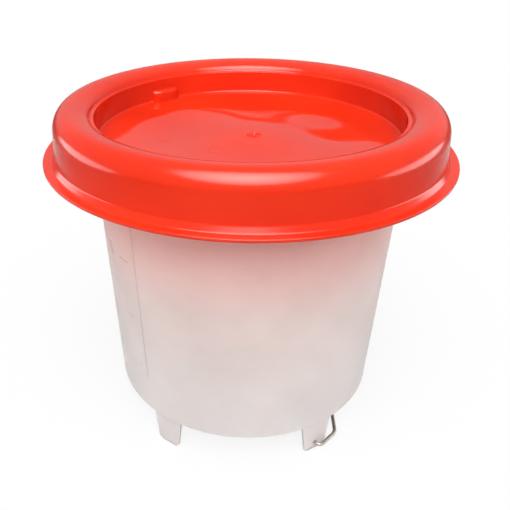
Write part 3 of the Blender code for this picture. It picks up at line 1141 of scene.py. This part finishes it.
@dataclass
class DrinkingTray:
    """The red tray seen from below: plate, recess, ledge, crest, wall, flange, outlet and hooks."""

    levels: Levels
    plate_thickness: float = 2.5 * MM
    wall: float = 2.3 * MM
    recess_radius: float = 111.2 * MM
    recess_fillet: float = 1.5 * MM
    lead: float = 0.3 * MM
    fillet_lead: float = 0.5 * MM
    ledge_lead: float = 0.4 * MM
    ledge_rise: float = 0.4 * MM
    under_high: float = 0.8 * MM
    under_share: float = 0.7
    under_run: float = 0.6 * MM
    under_fall: float = 0.5 * MM
    under_low: float = 1.4 * MM
    crest_height: float = 254.7 * MM
    crest_radius: float = 128.55 * MM
    crest_arch: float = 24.8 * MM
    crest_corner: float = 3.0 * MM
    crest_flank: float = 7.0 * MM
    arch_lean: float = 62.0
    corner_lean: float = 52.0
    flank_lean: float = 14.0
    crest_outer: float = 11.4 * MM
    crest_drop: float = 13.8 * MM
    wall_lean: float = 1.35 * MM
    wall_drop: float = 16.4 * MM
    wall_bend: float = 3.0 * MM
    wall_bend_deg: float = 6.0
    flare_run: float = 2.3 * MM
    flare_drop: float = 4.5 * MM
    flange_width: float = 5.7 * MM
    flange_bend: float = 1.2 * MM
    flange_bend_deg: float = 8.0
    flange_run: float = 3.0 * MM
    lip_height: float = 2.4 * MM
    edge: float = 0.7 * MM
    hook_wall: float = 1.7 * MM
    hook_lip: float = 2.0 * MM
    hook_set_back: float = 0.3 * MM
    hook_stop: float = math.radians(3.0)
    outlet_width: float = 25.6 * MM
    outlet_reach: float = 6.4 * MM
    outlet_rise: float = 9.2 * MM
    outlet_round: float = 3.2 * MM
    outlet_root: float = 0.5 * MM
    outlet_steps: int = 40
    outlet_sharp_deg: float = 50.0
    gate_radius: float = 5.4 * MM
    gate_depth: float = 0.9 * MM
    gate_ramp: Point = (0.45 * MM, 0.3 * MM)
    gate_foot: float = 1.1 * MM
    gate_shoulder: float = 1.2 * MM
    gate_stub: float = 1.5 * MM
    stub_rise: float = 0.15 * MM
    stub_bevel: Point = (0.3 * MM, 0.25 * MM)
    stub_draft: float = 0.15 * MM
    gate_shift: Point = (4.2 * MM, -3.6 * MM)
    gate_reach: float = 24.0 * MM
    gate_tear: float = 0.35 * MM
    gate_core: float = 2.0 * MM
    gate_oval: float = 0.13
    gate_lobes: float = 0.07
    gate_phases: Point = (0.6, 1.0)
    skin_band: Point = (0.1 * MM, 0.3 * MM)
    pin_place: Point = (-23.0 * MM, -30.5 * MM)
    pin_radius: float = 5.2 * MM
    pin_line: float = 0.16 * MM
    steps: int = 240
    plate_step_mm: float = 2.6
    wall_step_mm: float = 2.0
    fillet_step_mm: float = 0.4
    round_step_mm: float = 0.3
    rim_step_mm: float = 0.2
    ledge_step_mm: float = 1.2
    crest_step_mm: float = 0.6
    shoulder_step_mm: float = 0.8
    flare_step_mm: float = 1.0
    flange_step_mm: float = 1.5
    inner_arch_step_mm: float = 0.9
    inner_wall_step_mm: float = 3.0
    dents: tuple[Dent, ...] = (
        Dent(-67.0, -18.0, 40.0, -4.5),
        Dent(-67.0, 25.0, 26.0, -4.0),
        Dent(-58.0, 56.0, 16.0, -2.5),
        Dent(2.0, 5.0, 32.0, 4.0),
        Dent(28.0, -12.0, 70.0, -4.0),
        Dent(75.0, 30.0, 31.0, -4.0),
    )

    def __post_init__(self) -> None:
        """Work out the radii and heights that follow from the sizes."""
        lv = self.levels
        self.plate_z: float = lv.seat_z + self.plate_thickness
        self.shoulder_z: float = self.crest_height - self.crest_drop
        self.flange_z: float = self.shoulder_z - self.wall_drop - self.flare_drop
        self.lip_z: float = self.flange_z - self.lip_height
        self.plateau_radius: float = lv.hook_radius + self.hook_wall + self.hook_set_back
        self.shoulder_radius: float = self.crest_radius + self.crest_outer
        self.wall_foot_radius: float = self.shoulder_radius + self.wall_lean
        self.rim_radius: float = self.wall_foot_radius + self.flare_run + self.flange_width
        self.plate_radius: float = self.recess_radius - self.recess_fillet

    def warp(self, x: float, y: float) -> float:
        """Return how far the plate has sunk or risen in cooling, nothing at its rim."""
        rim = 1.0 - (x * x + y * y) / self.plate_radius**2
        return max(rim, 0.0) * sum(dent.lift(x, y) for dent in self.dents)

    def underside(self) -> Outline:
        """Draw the side that faces up here, from the axis to the bottom of the lip.

        Returns:
            The points of radius and height.
        """
        edge, fillet, round_step = self.edge, self.recess_fillet, self.round_step_mm
        points = self.gate()
        points += line(points[-1], (self.plate_radius - self.fillet_lead, self.plate_z), self.plate_step_mm)
        points += arc(
            (self.plate_radius, self.plate_z + fillet), (fillet, fillet), -90.0, 0.0, self.fillet_step_mm
        )
        crest = self.crest_inside()
        ledge_z = crest[0][1] - self.ledge_rise
        points += line(points[-1], (self.recess_radius, ledge_z - edge - self.lead), self.wall_step_mm)
        points += arc((self.recess_radius + edge, ledge_z - edge), (edge, edge), 180.0, 90.0, round_step)
        points += line(points[-1], (crest[0][0] - self.ledge_lead, ledge_z), self.ledge_step_mm)
        points += crest
        points += arc(
            (self.crest_radius, self.shoulder_z),
            (self.crest_outer, self.crest_drop),
            90.0,
            0.0,
            self.shoulder_step_mm,
        )[1:]
        shoulder = (self.shoulder_radius, self.shoulder_z)
        wall_foot = (self.wall_foot_radius, self.shoulder_z - self.wall_drop)
        flare_end = (wall_foot[0] + self.flare_run, self.flange_z)
        rim_end = (self.rim_radius, self.flange_z)
        bend = round_corner(shoulder, wall_foot, flare_end, self.wall_bend, self.wall_bend_deg)
        points += line(points[-1], bend[0], self.wall_step_mm) + bend[1:]
        bend = round_corner(wall_foot, flare_end, rim_end, self.flange_bend, self.flange_bend_deg)
        points += line(points[-1], bend[0], self.flare_step_mm) + bend[1:]
        points += self.lip()
        return points

    def crest_inside(self) -> Outline:
        """Draw the inner half of the crest: a steep flank, a tight corner and a broad low arch.

        Returns:
            The points from the ledge to the top.
        """
        rounds = (
            (self.crest_arch, self.arch_lean, 90.0),
            (self.crest_corner, self.corner_lean, self.arch_lean),
            (self.crest_flank, self.flank_lean, self.corner_lean),
        )
        points: Outline = []
        end = (self.crest_radius, self.crest_height)
        for radius, first_deg, last_deg in rounds:
            first, last = math.radians(first_deg), math.radians(last_deg)
            run, rise = math.cos(first) - math.cos(last), math.sin(last) - math.sin(first)
            start = (end[0] - radius * run, end[1] - radius * rise)
            points = normal_arc(start, radius, first_deg, last_deg, self.crest_step_mm) + points[1:]
            end = start
        return points

    def gate(self) -> Outline:
        """Draw the gate scar in the middle of the plate: a cut stub in a shallow ring.

        Returns:
            The points from the axis to the flat of the plate.
        """
        stub, rim, low = self.gate_stub, self.gate_radius, self.plate_z - self.gate_depth
        top = self.plate_z + self.stub_rise
        points = [(0.0, top), (stub - self.stub_bevel[0], top)]
        points += [(stub, top - self.stub_bevel[1]), (stub + self.stub_draft, low)]
        points += line(points[-1], (rim - self.gate_foot, low), self.ledge_step_mm)
        points += [(rim - self.gate_ramp[0], low + self.gate_ramp[1])]
        points += [(rim, self.plate_z), (rim + self.gate_shoulder, self.plate_z)]
        return points

    def lip(self) -> Outline:
        """Draw the flat flange with its rounded rim, down to the bottom edge.

        Returns:
            The points from the flange's flat to the lip's lower edge.
        """
        rim, edge, rim_step = self.rim_radius, self.edge, self.rim_step_mm
        flat_start = (rim - edge - self.flange_run, self.flange_z)
        points = line(flat_start, (rim - edge, self.flange_z), self.flange_step_mm)
        points += arc((rim - edge, self.flange_z - edge), (edge, edge), 90.0, 0.0, rim_step)[1:]
        points += arc((rim - edge, self.lip_z + edge), (edge, edge), 0.0, -90.0, rim_step)[1:]
        return points

    def waterside(self) -> Outline:
        """Draw the side that holds the water, from the lip back to the axis.

        Returns:
            The points of radius and height.
        """
        wall, edge, round_step = self.wall, self.edge, self.round_step_mm
        seat_z, flange = self.levels.seat_z, self.plateau_radius
        wall_inner = self.wall_foot_radius - wall
        crest = self.crest_inside()
        ledge_low = crest[0][1] - self.ledge_rise - wall
        trough_wall = self.recess_radius + wall
        lean = math.radians(self.arch_lean)
        under = self.crest_arch - wall
        arch_z = self.crest_height - self.crest_arch
        arch_foot = (self.crest_radius - under * math.cos(lean), arch_z + under * math.sin(lean))
        wall_top = (self.shoulder_radius - wall, self.shoulder_z - self.fillet_lead)
        points = arc((wall_inner + edge, self.lip_z + edge), (edge, edge), 270.0, 180.0, round_step)
        points += line(points[-1], wall_top, self.inner_wall_step_mm)
        points += arc(
            (self.crest_radius, self.shoulder_z),
            (self.crest_outer - wall, self.crest_drop - wall),
            0.0,
            90.0,
            self.inner_arch_step_mm,
        )
        points += arc(
            (self.crest_radius, arch_z), (under, under), 90.0, 180.0 - self.arch_lean, self.inner_arch_step_mm
        )[1:]
        # The ledge's water side: its corners are broken by short runs.
        flank = (crest[0][0] + wall, ledge_low + self.under_high)
        points += line(arch_foot, flank, self.flange_step_mm)
        points += [(crest[0][0] + self.under_share * wall, ledge_low)]
        points += [(trough_wall + self.under_run, ledge_low - self.under_fall)]
        points += [(trough_wall, ledge_low - self.under_low)]
        points += line(points[-1], (trough_wall, self.plate_z + edge + self.lead), self.wall_step_mm)
        points += arc((trough_wall + edge, self.plate_z + edge), (edge, edge), 180.0, 270.0, round_step)
        points += line(points[-1], (flange - edge - self.lead, self.plate_z), self.flange_step_mm)
        points += arc((flange - edge, self.plate_z - edge), (edge, edge), 90.0, 0.0, round_step)
        points += arc((flange - edge, seat_z + edge), (edge, edge), 0.0, -90.0, round_step)
        points += line(points[-1], (0.0, seat_z), self.plate_step_mm)
        return points

    def barrel(
        self, name: str, reach: float, outer: float, half_width: float, heights: Point, rounding: float
    ) -> bpy.types.Object:
        """Make a block that bulges from the recess wall towards the axis, with a round rim.

        Args:
            name: Name of the block.
            reach: Half axis of the bulge towards the axis.
            outer: Radius where the block ends.
            half_width: Half axis of the bulge along the wall.
            heights: Lower and upper height.
            rounding: Radius of the rim's rounding.

        Returns:
            The block at the outlet's place.
        """
        angles = [math.pi * (0.5 + k / self.outlet_steps) for k in range(self.outlet_steps + 1)]
        plan = [(self.recess_radius + reach * math.cos(a), half_width * math.sin(a)) for a in angles]
        plan += [(outer, -half_width), (outer, half_width)]
        block = draw_outline(name, plan, closed=True)
        tall = heights[1] - heights[0]
        bpy.ops.mesh.extrude_region_move(TRANSFORM_OT_translate={"value": (0.0, tall, 0.0)})
        bpy.ops.mesh.select_all(action="SELECT")
        bpy.ops.mesh.normals_make_consistent(inside=False)
        object_mode()
        upright = Matrix(((1.0, 0.0, 0.0), (0.0, 0.0, 1.0), (0.0, 1.0, 0.0))).to_4x4()
        apply_place(block, Matrix.Translation((0.0, 0.0, heights[0])) @ upright)
        edit_mode(block)
        bpy.ops.mesh.normals_make_consistent(inside=False)
        object_mode()
        bevel_edges(block, rounding, 6, self.outlet_sharp_deg)
        apply_place(block, Matrix.Rotation(self.levels.outlet_angle, 4, "Z"))
        return block

    def press_outlet(self, tray: bpy.types.Object) -> None:
        """Press the barrel shaped water outlet into the corner of the plate.

        Args:
            tray: The tray, changed in place.
        """
        wall, seat_z = self.wall, self.levels.seat_z
        high, half = self.plate_z + self.outlet_rise, self.outlet_width / 2.0
        bump = self.barrel(
            "outlet_bump",
            self.outlet_reach,
            self.plateau_radius + 2.0 * self.outlet_round,
            half,
            (seat_z - 2.0 * self.outlet_round, high),
            self.outlet_round,
        )
        low, top = seat_z + self.outlet_root, high + MM
        deselect_all()
        bpy.ops.mesh.primitive_cylinder_add(
            vertices=self.steps,
            radius=self.recess_radius + wall / 2.0,
            depth=top - low,
            location=(0.0, 0.0, (low + top) / 2.0),
        )
        inside = bpy.context.object
        inside.name = "recess_core"
        join_solid(bump, inside, Join.KEEP)
        join_solid(tray, bump, Join.ADD)
        hollow = self.barrel(
            "outlet_hollow",
            self.outlet_reach - wall,
            self.plateau_radius + wall,
            half - wall,
            (seat_z - self.outlet_round, high - wall),
            self.outlet_round - wall,
        )
        join_solid(tray, hollow, Join.CUT)

    def hook(self, number: int, angle: float) -> bpy.types.Object:
        """Make one bayonet hook: a curved block less the channel that the lug slides in.

        Args:
            number: The hook's number.
            angle: Its middle angle, in radians.

        Returns:
            The hook in its place.
        """
        lv = self.levels
        lip_high = lv.lug_low - lv.hook_clearance
        lip_low = lip_high - self.hook_lip
        root = lv.seat_z + self.plate_thickness / 2.0
        lip_inner = lv.mouth_radius + lv.hook_clearance
        outer = lv.hook_radius + self.hook_wall
        start = angle - lv.hook_run / 2.0
        body = turn_block(
            f"hook_{number}",
            [(lip_inner, lip_low), (outer, lip_low), (outer, root), (lip_inner, root)],
            start,
            lv.hook_run + self.hook_stop,
        )
        inner = lip_inner - self.hook_wall
        high = lv.seat_z + self.plate_thickness / 4.0
        channel = turn_block(
            f"channel_{number}",
            [(inner, lip_high), (lv.hook_radius, lip_high), (lv.hook_radius, high), (inner, high)],
            start - self.hook_stop,
            lv.hook_run + self.hook_stop,
        )
        join_solid(body, channel, Join.CUT)
        return body

    def bend_plate(self, tray: bpy.types.Object) -> None:
        """Move the plate's two skins by the warp, so that its thickness stays.

        Args:
            tray: The tray, changed in place.
        """
        top, low = self.plate_z + self.skin_band[1], self.levels.seat_z - self.skin_band[0]
        for vertex in tray.data.vertices:
            if low < vertex.co.z < top and vertex.co.xy.length < self.plate_radius:
                self.tear_gate(vertex)
                vertex.co.z += self.warp(vertex.co.x, vertex.co.y)

    def tear_gate(self, vertex: bpy.types.MeshVertex) -> None:
        """Shift the gate scar off the middle and make its rim ragged, as a torn gate leaves it.

        Args:
            vertex: A point of the plate, changed in place.
        """
        away, turn = vertex.co.xy.length, math.atan2(vertex.co.y, vertex.co.x)
        if away >= self.gate_reach:
            return
        on_top = vertex.co.z > self.levels.seat_z + self.skin_band[1]
        if on_top and self.gate_core < away < self.gate_radius + MM:
            oval = self.gate_oval * math.sin(2.0 * turn + self.gate_phases[0])
            ragged = 1.0 + oval + self.gate_lobes * math.sin(5.0 * turn)
            vertex.co.x, vertex.co.y = vertex.co.x * ragged, vertex.co.y * ragged
            if away < self.gate_radius:
                vertex.co.z += self.gate_tear * math.sin(3.0 * turn + self.gate_phases[1])
        share = 1.0 - (away / self.gate_reach) ** 2
        vertex.co.x += self.gate_shift[0] * share
        vertex.co.y += self.gate_shift[1] * share

    def pin_witness(self) -> bpy.types.Object:
        """Make the fine ring that an ejector pin left on the plate, laid along its warp.

        Returns:
            The ring in its place.
        """
        deselect_all()
        bpy.ops.mesh.primitive_torus_add(
            major_radius=self.pin_radius, minor_radius=self.pin_line, major_segments=72, minor_segments=10
        )
        ring = bpy.context.object
        ring.name = "pin_witness"
        apply_place(ring, Matrix.Translation((*self.pin_place, self.plate_z)))
        for vertex in ring.data.vertices:
            vertex.co.z += self.warp(vertex.co.x, vertex.co.y)
        return ring

    def build(self, finish: bpy.types.Material) -> None:
        """Build and dress the tray.

        Args:
            finish: The material of its pieces.
        """
        tray = turn_outline("drinking_tray_moulding", self.underside() + self.waterside(), self.steps)
        self.bend_plate(tray)
        self.press_outlet(tray)
        for number, angle in enumerate(self.levels.hook_angles()):
            join_solid(tray, self.hook(number, angle), Join.ADD)
        dress(tray, finish, Body.TRAY, ("drinking_tray",))
        dress(self.pin_witness(), finish, Body.TRAY)


@dataclass
class WireBail:
    """The bent wire handle, folded flat under the closed end."""

    levels: Levels
    end: float = 5.5 * MM
    stand_off: float = 5.6 * MM
    bend: float = 3.4 * MM
    leg: float = 22.5 * MM
    leg_lean: float = math.radians(16.5)
    shoulder_lean: float = math.radians(56.0)
    reach: float = 66.0 * MM
    shoulder_bend: float = 12.0 * MM
    floor_gap: float = 0.3 * MM
    end_round: float = 0.35 * MM
    end_sharp_deg: float = 60.0
    step_deg: float = 6.0

    def route(self) -> Outline:
        """Draw half of the bail in its own plane.

        Returns:
            The points from its end to the middle.
        """
        lv = self.levels
        stand = lv.foot_face + self.stand_off
        end = (lv.foot_face - lv.foot_thickness - self.end, 0.0)
        corner = (stand, 0.0)
        leg_end = (stand - self.leg * math.sin(self.leg_lean), self.leg * math.cos(self.leg_lean))
        run = (self.reach - leg_end[1]) / math.cos(self.shoulder_lean)
        shoulder = (leg_end[0] - run * math.sin(self.shoulder_lean), self.reach)
        half = [end]
        half += round_corner(end, corner, leg_end, self.bend, self.step_deg)
        half += round_corner(corner, leg_end, shoulder, self.shoulder_bend, self.step_deg)
        half += round_corner(leg_end, shoulder, (-shoulder[0], self.reach), self.shoulder_bend, self.step_deg)
        return half

    def frame(self) -> Matrix:
        """Return the bail's frame: X along the hinge, Y out over the floor.

        Returns:
            The frame, with its origin on the hinge.
        """
        lv = self.levels
        along = Vector((math.cos(-lv.foot_angle), math.sin(-lv.foot_angle), 0.0))
        out = Vector((-along.y, along.x, 0.0))
        drop = lv.hole_height - lv.wire_radius - self.floor_gap
        lean = Matrix.Rotation(-math.asin(drop / self.reach), 4, "X")
        turn = Matrix((along, out, Vector((0.0, 0.0, 1.0)))).transposed().to_4x4()
        return Matrix.Translation((0.0, 0.0, lv.hole_height)) @ turn @ lean

    def build(self, finish: bpy.types.Material) -> None:
        """Build and dress the wire.

        Args:
            finish: The wire's material.
        """
        half = self.route()
        route = half + [(-x, y) for x, y in reversed(half)]
        curve = bpy.data.curves.new("bail_wire", "CURVE")
        curve.dimensions = "3D"
        curve.bevel_depth = self.levels.wire_radius
        curve.bevel_resolution = 6
        curve.use_fill_caps = True
        spline = curve.splines.new("POLY")
        spline.points.add(len(route) - 1)
        for point, (x, y) in zip(spline.points, route):
            point.co = (x, y, 0.0, 1.0)
        wire = bpy.data.objects.new("bail_wire", curve)
        bpy.context.scene.collection.objects.link(wire)
        activate(wire)
        bpy.ops.object.convert(target="MESH")
        wire = bpy.context.object
        edit_mode(wire)
        bpy.ops.mesh.remove_doubles(threshold=WELD)
        bpy.ops.mesh.normals_make_consistent(inside=False)
        object_mode()
        bevel_edges(wire, self.end_round, 2, self.end_sharp_deg)
        apply_place(wire, self.frame())
        dress(wire, finish, Body.BAIL, ("bail_handle",))


@dataclass
class Studio:
    """The floor, the soft light and the camera at the photograph's angle."""

    lens_mm: float = 44.718
    sensor_mm: float = 36.0
    shift_x: float = 0.08431
    camera_place: Triple = (0.0, -0.451157, 0.382546)
    pitch_deg: float = 29.68
    yaw_deg: float = -3.491
    roll_deg: float = -0.390
    key_elevation_deg: float = 55.0
    key_distance: float = 1.67
    key_size: Point = (2.0, 2.0)
    key_spread_deg: float = 80.0
    key_power: float = 16.0
    target: Triple = (0.0, -0.02, 0.20)
    side_place: Triple = (1.30, 0.15, 0.17)
    side_size: Point = (1.3, 0.34)
    side_spread_deg: float = 180.0
    side_power: float = 3.4
    floor_size: float = 30.0
    room_colour: str = "#e7e7e7"
    room_span: Point = (-0.5, 0.8)
    room_levels: Point = (0.34, 0.60)
    seen_colour: str = "#ffffff"

    def floor(self) -> None:
        """Lay the paper floor."""
        deselect_all()
        bpy.ops.mesh.primitive_plane_add(size=self.floor_size)
        floor = bpy.context.object
        floor.name = "paper_floor"
        floor.data.materials.append(PaperFloor().make())

    def lamp(self, name: str, place: Vector, size: Point, power: float, spread_deg: float) -> None:
        """Hang an oval soft lamp that looks at the object.

        Args:
            name: Name of the lamp.
            place: Where it hangs.
            size: Its width and height.
            power: Its power in watts.
            spread_deg: How wide it shines; under 180 stands for a grid before it.
        """
        light = bpy.data.lights.new(name, "AREA")
        light.shape = "ELLIPSE"
        light.size, light.size_y = size
        light.energy = power
        light.spread = math.radians(spread_deg)
        lamp = bpy.data.objects.new(name, light)
        bpy.context.scene.collection.objects.link(lamp)
        lamp.location = place
        aim = Vector(self.target) - place
        lamp.rotation_euler = aim.to_track_quat("-Z", "Y").to_euler()

    def lights(self) -> None:
        """Hang the soft box over the camera, and a low strip of light at each side."""
        elevation = math.radians(self.key_elevation_deg)
        ahead = Vector((0.0, -math.cos(elevation), math.sin(elevation)))
        place = Vector(self.target) + ahead * self.key_distance
        self.lamp("key_softbox", place, self.key_size, self.key_power, self.key_spread_deg)
        across, beyond, height = self.side_place
        for name, side in (("left_strip", -1.0), ("right_strip", 1.0)):
            place = Vector((side * across, beyond, height))
            self.lamp(name, place, self.side_size, self.side_power, self.side_spread_deg)

    def world(self) -> None:
        """Fill the room with soft light, paler behind the object, and white where the camera sees it."""
        world = bpy.data.worlds.new("studio_room")
        bpy.context.scene.world = world
        world.use_nodes = True
        tree = world.node_tree
        tree.nodes.clear()
        ray = add_node(tree, "ShaderNodeTexCoord", {}, {}).outputs["Generated"]
        beyond = add_node(tree, "ShaderNodeSeparateXYZ", {}, {"Vector": ray}).outputs["Y"]
        level = add_node(
            tree,
            "ShaderNodeMapRange",
            {
                "From Min": self.room_span[0],
                "From Max": self.room_span[1],
                "To Min": self.room_levels[0],
                "To Max": self.room_levels[1],
            },
            {"Value": beyond},
        )
        room = add_node(
            tree,
            "ShaderNodeBackground",
            {"Color": linear(self.room_colour)},
            {"Strength": level.outputs["Result"]},
        )
        white = add_node(
            tree, "ShaderNodeBackground", {"Color": linear(self.seen_colour), "Strength": 1.0}, {}
        )
        path = add_node(tree, "ShaderNodeLightPath", {}, {})
        seen = add_node(
            tree,
            "ShaderNodeMath",
            {"operation": "ADD"},
            {0: path.outputs["Is Camera Ray"], 1: path.outputs["Is Transmission Ray"]},
        )
        mixed = add_node(
            tree, "ShaderNodeMixShader", {}, {0: seen.outputs[0], 1: room.outputs[0], 2: white.outputs[0]}
        )
        add_node(tree, "ShaderNodeOutputWorld", {}, {"Surface": mixed.outputs[0]})

    def camera(self) -> None:
        """Set the camera at the photograph's place, aim and lens."""
        pitch, yaw, roll = (math.radians(a) for a in (self.pitch_deg, self.yaw_deg, self.roll_deg))
        ahead = Vector(
            (math.sin(yaw) * math.cos(pitch), math.cos(yaw) * math.cos(pitch), -math.sin(pitch))
        )
        level = Vector((math.cos(yaw), -math.sin(yaw), 0.0))
        lift = level.cross(ahead)
        right = level * math.cos(roll) + lift * math.sin(roll)
        up = lift * math.cos(roll) - level * math.sin(roll)
        turn = Matrix((right, up, -ahead)).transposed().to_4x4()
        data = bpy.data.cameras.new("photo_camera")
        data.lens = self.lens_mm
        data.sensor_width = self.sensor_mm
        data.shift_x = self.shift_x
        camera = bpy.data.objects.new("photo_camera", data)
        bpy.context.scene.collection.objects.link(camera)
        camera.matrix_world = Matrix.Translation(self.camera_place) @ turn
        bpy.context.scene.camera = camera

    def build(self) -> None:
        """Set up floor, light and camera."""
        self.floor()
        self.lights()
        self.world()
        self.camera()
        bpy.context.scene.view_settings.view_transform = "Standard"


def main() -> None:
    """Build the drinker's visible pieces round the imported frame."""
    logging.basicConfig(level=logging.INFO, format="%(message)s")
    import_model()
    Studio().build()
    levels = Levels()
    Reservoir(levels).build(MilkyPolypropylene().make())
    DrinkingTray(levels).build(RedPolypropylene().make())
    WireBail(levels).build(DrawnSteelWire().make())


if __name__ == "__main__":
    main()
